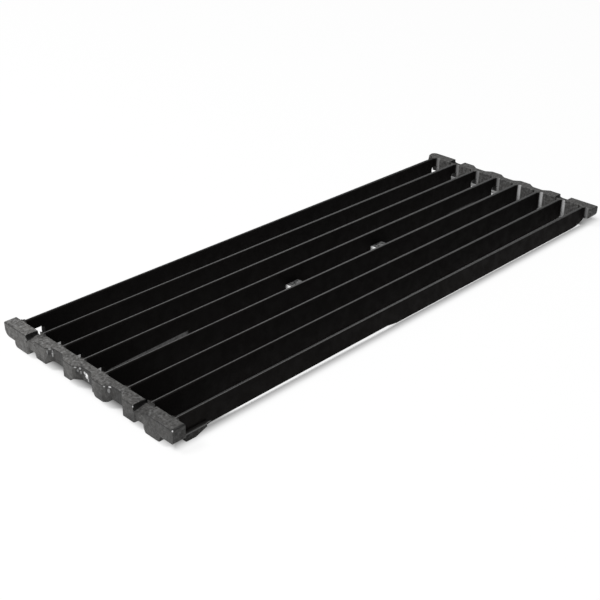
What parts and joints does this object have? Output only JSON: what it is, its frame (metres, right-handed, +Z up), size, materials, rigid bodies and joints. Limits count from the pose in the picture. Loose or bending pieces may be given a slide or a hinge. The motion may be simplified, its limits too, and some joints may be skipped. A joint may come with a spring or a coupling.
{
  "type": "grill grate",
  "caption": "Cast-iron grill grate with deep narrow-topped bars between two toothed end rails, two low ties in the middle gap and a foot under one outer bar.",
  "frame": {"origin": "Middle of the grate's bounding box, in the plane under the foot.", "axes": "+X runs along the bars towards the end with the foot, +Y across the bars towards the side with the foot, +Z is up, away from the fire."},
  "size_m": [0.413, 0.1554, 0.016],
  "materials": {
    "black_iron": "satin black, sand-cast grain, greyer on the end rails"
  },
  "bodies": {
    "root": {"grate": "black_iron"}
  },
  "joints": []
}
